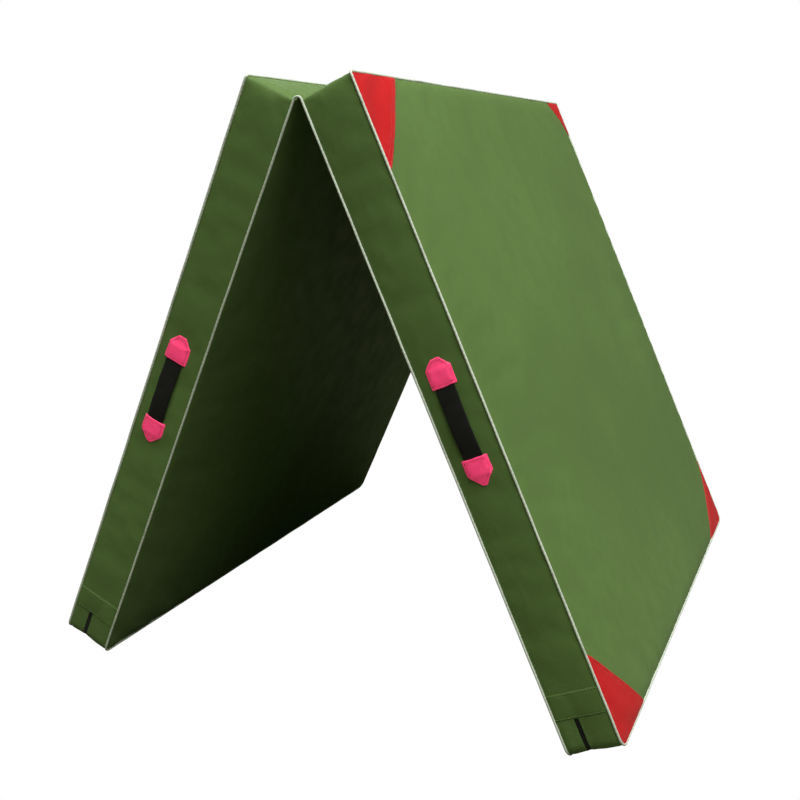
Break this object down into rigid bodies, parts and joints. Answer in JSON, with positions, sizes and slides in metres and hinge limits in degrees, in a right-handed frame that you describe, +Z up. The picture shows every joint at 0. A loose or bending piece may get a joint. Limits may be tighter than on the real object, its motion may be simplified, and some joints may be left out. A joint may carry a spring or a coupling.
{
  "type": "folding landing mat",
  "caption": "Folding gymnastics landing mat of two foam panels in sewn covers, with red corner pieces, piping, zips and carry straps; it stands as an inverted V.",
  "frame": {"origin": "on the floor under the middle of the fold, at the middle of the mat's width along the fold", "axes": "+Z up, +Y along the fold away from the near side, +X towards the right-hand panel"},
  "size_m": [0.9732, 1.0306, 0.9456],
  "materials": {
    "cover_green": "PVC-coated polyester fabric, satin, fine woven grain",
    "corner_red": "PVC-coated polyester fabric, satin",
    "piping_pale": "pale grey-white welt strip over a cord, matte",
    "webbing_black": "woven polyester webbing, matte",
    "patch_pink": "coated fabric patch, stitched, satin",
    "zip_teeth_black": "moulded plastic teeth",
    "zip_tape_black": "woven zip tape",
    "slider_metal": "black enamelled die-casting",
    "sponge_foam": "open-cell polyurethane sponge, sealed inside the cover",
    "firm_foam": "closed-cell polyethylene foam, sealed inside the cover"
  },
  "bodies": {
    "left_panel": {"left_corner_bottom_far": "corner_red", "left_corner_bottom_near": "corner_red", "left_corner_top_far": "corner_red", "left_corner_top_near": "corner_red", "left_firm_layer": "firm_foam", "left_handle_patch_far_lower": "patch_pink", "left_handle_patch_far_upper": "patch_pink", "left_handle_patch_near_lower": "patch_pink", "left_handle_patch_near_upper": "patch_pink", "left_handle_webbing_far": "webbing_black", "left_handle_webbing_near": "webbing_black", "left_hinge_end_gusset": "cover_green", "left_inner_cover": "cover_green", "left_inner_piping": "piping_pale", "left_outer_cover": "cover_green", "left_outer_piping": "piping_pale", "left_side_gusset_far": "cover_green", "left_side_gusset_near": "cover_green", "left_soft_core": "sponge_foam", "left_zip_cover_far": "cover_green", "left_zip_cover_near": "cover_green", "left_zip_gusset_inner": "cover_green", "left_zip_gusset_outer": "cover_green", "left_zip_tape": "zip_tape_black", "left_zip_teeth": "zip_teeth_black", "fold_piping_far": "piping_pale", "fold_piping_near": "piping_pale", "fold_web": "cover_green"},
    "left_zip_slider": {"left_zip_slider": "slider_metal"},
    "left_zip_pull": {"left_zip_pull": "slider_metal"},
    "right_panel": {"right_corner_bottom_far": "corner_red", "right_corner_bottom_near": "corner_red", "right_corner_top_far": "corner_red", "right_corner_top_near": "corner_red", "right_firm_layer": "firm_foam", "right_handle_patch_far_lower": "patch_pink", "right_handle_patch_far_upper": "patch_pink", "right_handle_patch_near_lower": "patch_pink", "right_handle_patch_near_upper": "patch_pink", "right_handle_webbing_far": "webbing_black", "right_handle_webbing_near": "webbing_black", "right_hinge_end_gusset": "cover_green", "right_inner_cover": "cover_green", "right_inner_piping": "piping_pale", "right_outer_cover": "cover_green", "right_outer_piping": "piping_pale", "right_side_gusset_far": "cover_green", "right_side_gusset_near": "cover_green", "right_soft_core": "sponge_foam", "right_zip_cover_far": "cover_green", "right_zip_cover_near": "cover_green", "right_zip_gusset_inner": "cover_green", "right_zip_gusset_outer": "cover_green", "right_zip_tape": "zip_tape_black", "right_zip_teeth": "zip_teeth_black"},
    "right_zip_slider": {"right_zip_slider": "slider_metal"},
    "right_zip_pull": {"right_zip_pull": "slider_metal"}
  },
  "joints": [
    {"name": "fold", "type": "hinge", "parent": "left_panel", "child": "right_panel", "pos_m": [0, 0, 0.91216], "axis": [0, -1, 0], "range_deg": [-47, 132], "deforming": ["fold_piping_far", "fold_piping_near", "fold_web"]},
    {"name": "left_zip_run", "type": "slide", "parent": "left_panel", "child": "left_zip_slider", "axis": [0, -1, 0], "range_m": [0, 0.935]},
    {"name": "left_pull_swing", "type": "hinge", "parent": "left_zip_slider", "child": "left_zip_pull", "pos_m": [-0.45387, 0.4673, 0.02058], "axis": [0.9135, 0, -0.4067], "range_deg": [-53, 123]},
    {"name": "right_zip_run", "type": "slide", "parent": "right_panel", "child": "right_zip_slider", "axis": [0, -1, 0], "range_m": [0, 0.935]},
    {"name": "right_pull_swing", "type": "hinge", "parent": "right_zip_slider", "child": "right_zip_pull", "pos_m": [0.43926, 0.4673, 0.01408], "axis": [0.9135, 0, 0.4067], "range_deg": [-30, 146]}
  ]
}
